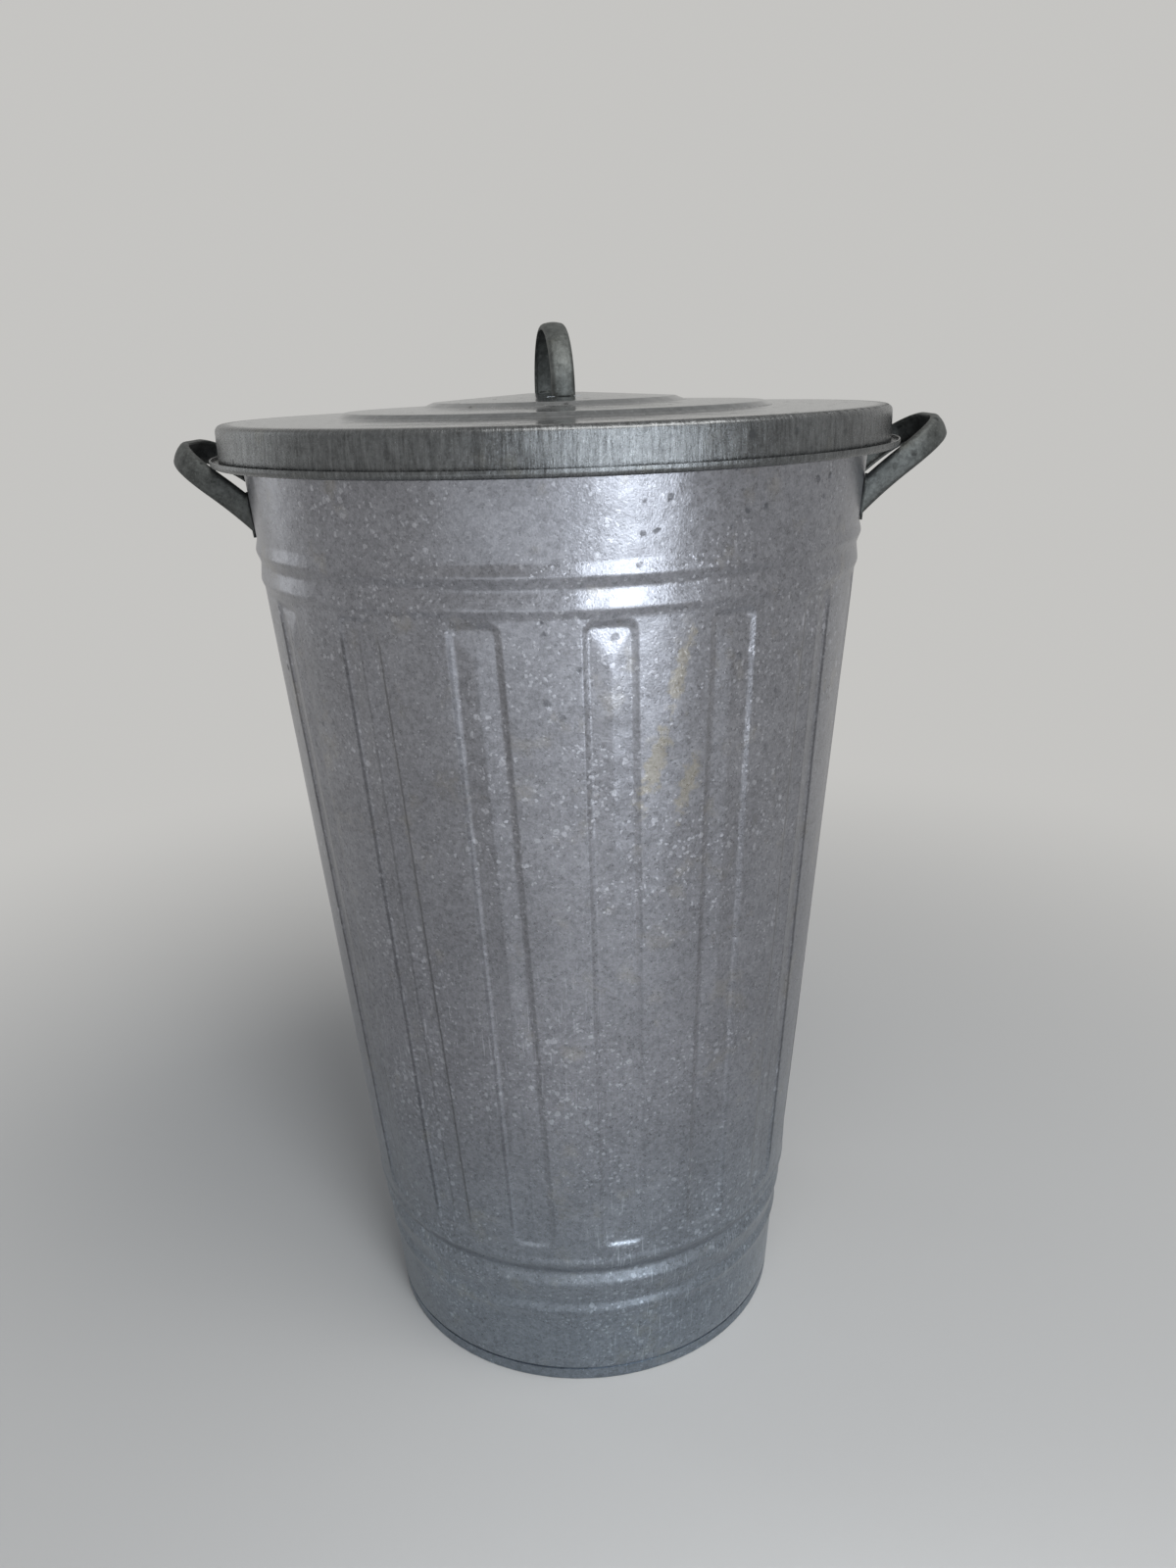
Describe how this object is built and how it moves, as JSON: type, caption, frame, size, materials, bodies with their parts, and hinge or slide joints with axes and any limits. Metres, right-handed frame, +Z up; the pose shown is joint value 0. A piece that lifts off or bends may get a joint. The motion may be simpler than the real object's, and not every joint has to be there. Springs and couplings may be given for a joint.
{
  "type": "lidded bin",
  "caption": "Tall tapered galvanised sheet-steel bin with beads, pressed panels, strap side handles and a loose lift-off lid with a strap grip.",
  "frame": {"origin": "centre of the foot ring, on the floor", "axes": "+Z up, the front of the picture faces -Y, side handles within 2 degrees of +X and -X"},
  "size_m": [0.463, 0.4082, 0.6568],
  "materials": {
    "zinc_body": "hot-dip galvanised with fine spangle",
    "zinc_base": "hot-dip galvanised",
    "steel_wire": "drawn wire",
    "zinc_handle": "dull galvanised strap",
    "steel_rivet": "plain rivet",
    "zinc_lid": "hot-dip galvanised with drawn streaks",
    "zinc_grip": "dull galvanised strap"
  },
  "bodies": {
    "bin": {"body_shell": "zinc_body", "base_pan": "zinc_base", "rim_wire": "steel_wire", "handle_left": "zinc_handle", "handle_right": "zinc_handle", "handle_rivets": "steel_rivet"},
    "lid": {"lid_shell": "zinc_lid", "lid_handle": "zinc_grip"}
  },
  "joints": [
    {"name": "lid_lift", "type": "slide", "parent": "bin", "child": "lid", "axis": [0, 0, 1], "range_m": [0, 0.2]}
  ]
}
